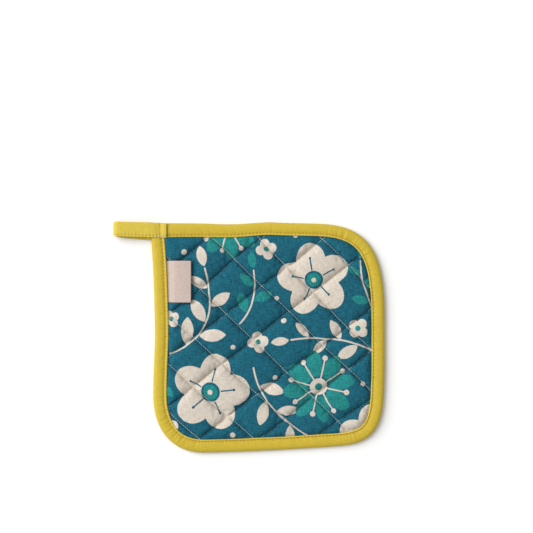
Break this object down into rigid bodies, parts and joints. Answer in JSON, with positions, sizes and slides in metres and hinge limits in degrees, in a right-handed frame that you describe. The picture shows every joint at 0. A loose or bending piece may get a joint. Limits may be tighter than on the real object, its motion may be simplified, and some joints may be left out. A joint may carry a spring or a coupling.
{
  "type": "quilted pot holder",
  "caption": "Flat square quilted pot holder with a bound edge, a side tab and a hanging loop at one corner.",
  "frame": {"origin": "on the surface it lies on, under the middle of its outline, hanging loop included", "axes": "+X from the looped side across the pad, along the hanging loop; +Y up the picture, towards the side that the loop is on; +Z out of the printed face"},
  "size_m": [0.2346, 0.199, 0.0086],
  "materials": {
    "printed_cotton": "matte quilted cotton, printed in cream and turquoise on teal",
    "yellow_cotton": "smooth woven cotton tape with a faint sheen",
    "woven_tab": "plain pale woven tape, matte"
  },
  "bodies": {
    "root": {"quilted_pad": "printed_cotton", "edge_binding": "yellow_cotton", "hanging_loop": "yellow_cotton", "side_tab": "woven_tab"}
  },
  "joints": []
}
